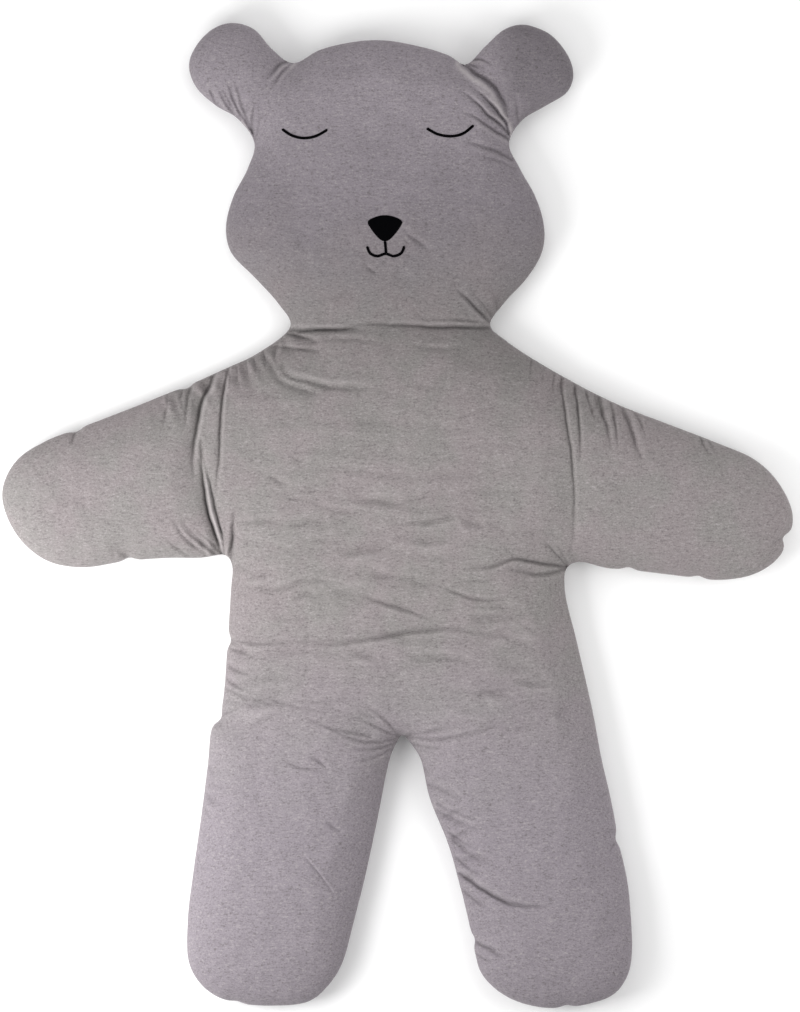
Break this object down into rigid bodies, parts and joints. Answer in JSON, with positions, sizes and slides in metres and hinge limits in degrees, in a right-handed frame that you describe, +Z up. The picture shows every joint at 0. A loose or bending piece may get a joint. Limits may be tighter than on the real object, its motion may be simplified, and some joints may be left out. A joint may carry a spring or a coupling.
{
  "type": "padded play mat",
  "caption": "Flat padded play mat in the outline of a sleeping bear lying on its back, arms out and legs apart, with an embroidered face.",
  "frame": {"origin": "centre of the mat's bounding box, on the floor that the mat lies on", "axes": "+X runs across the bear from hand to hand, towards the right of the picture; +Y runs from the feet to the ears; +Z points up from the floor through the face"},
  "size_m": [1.2036, 1.4996, 0.0825],
  "materials": {
    "jersey": "heather grey cotton jersey, matt and softly brushed",
    "thread": "black embroidery thread, satin stitch"
  },
  "bodies": {
    "root": {"padded_bear": "jersey", "eye_left": "thread", "eye_right": "thread", "nose": "thread", "mouth": "thread"}
  },
  "joints": []
}
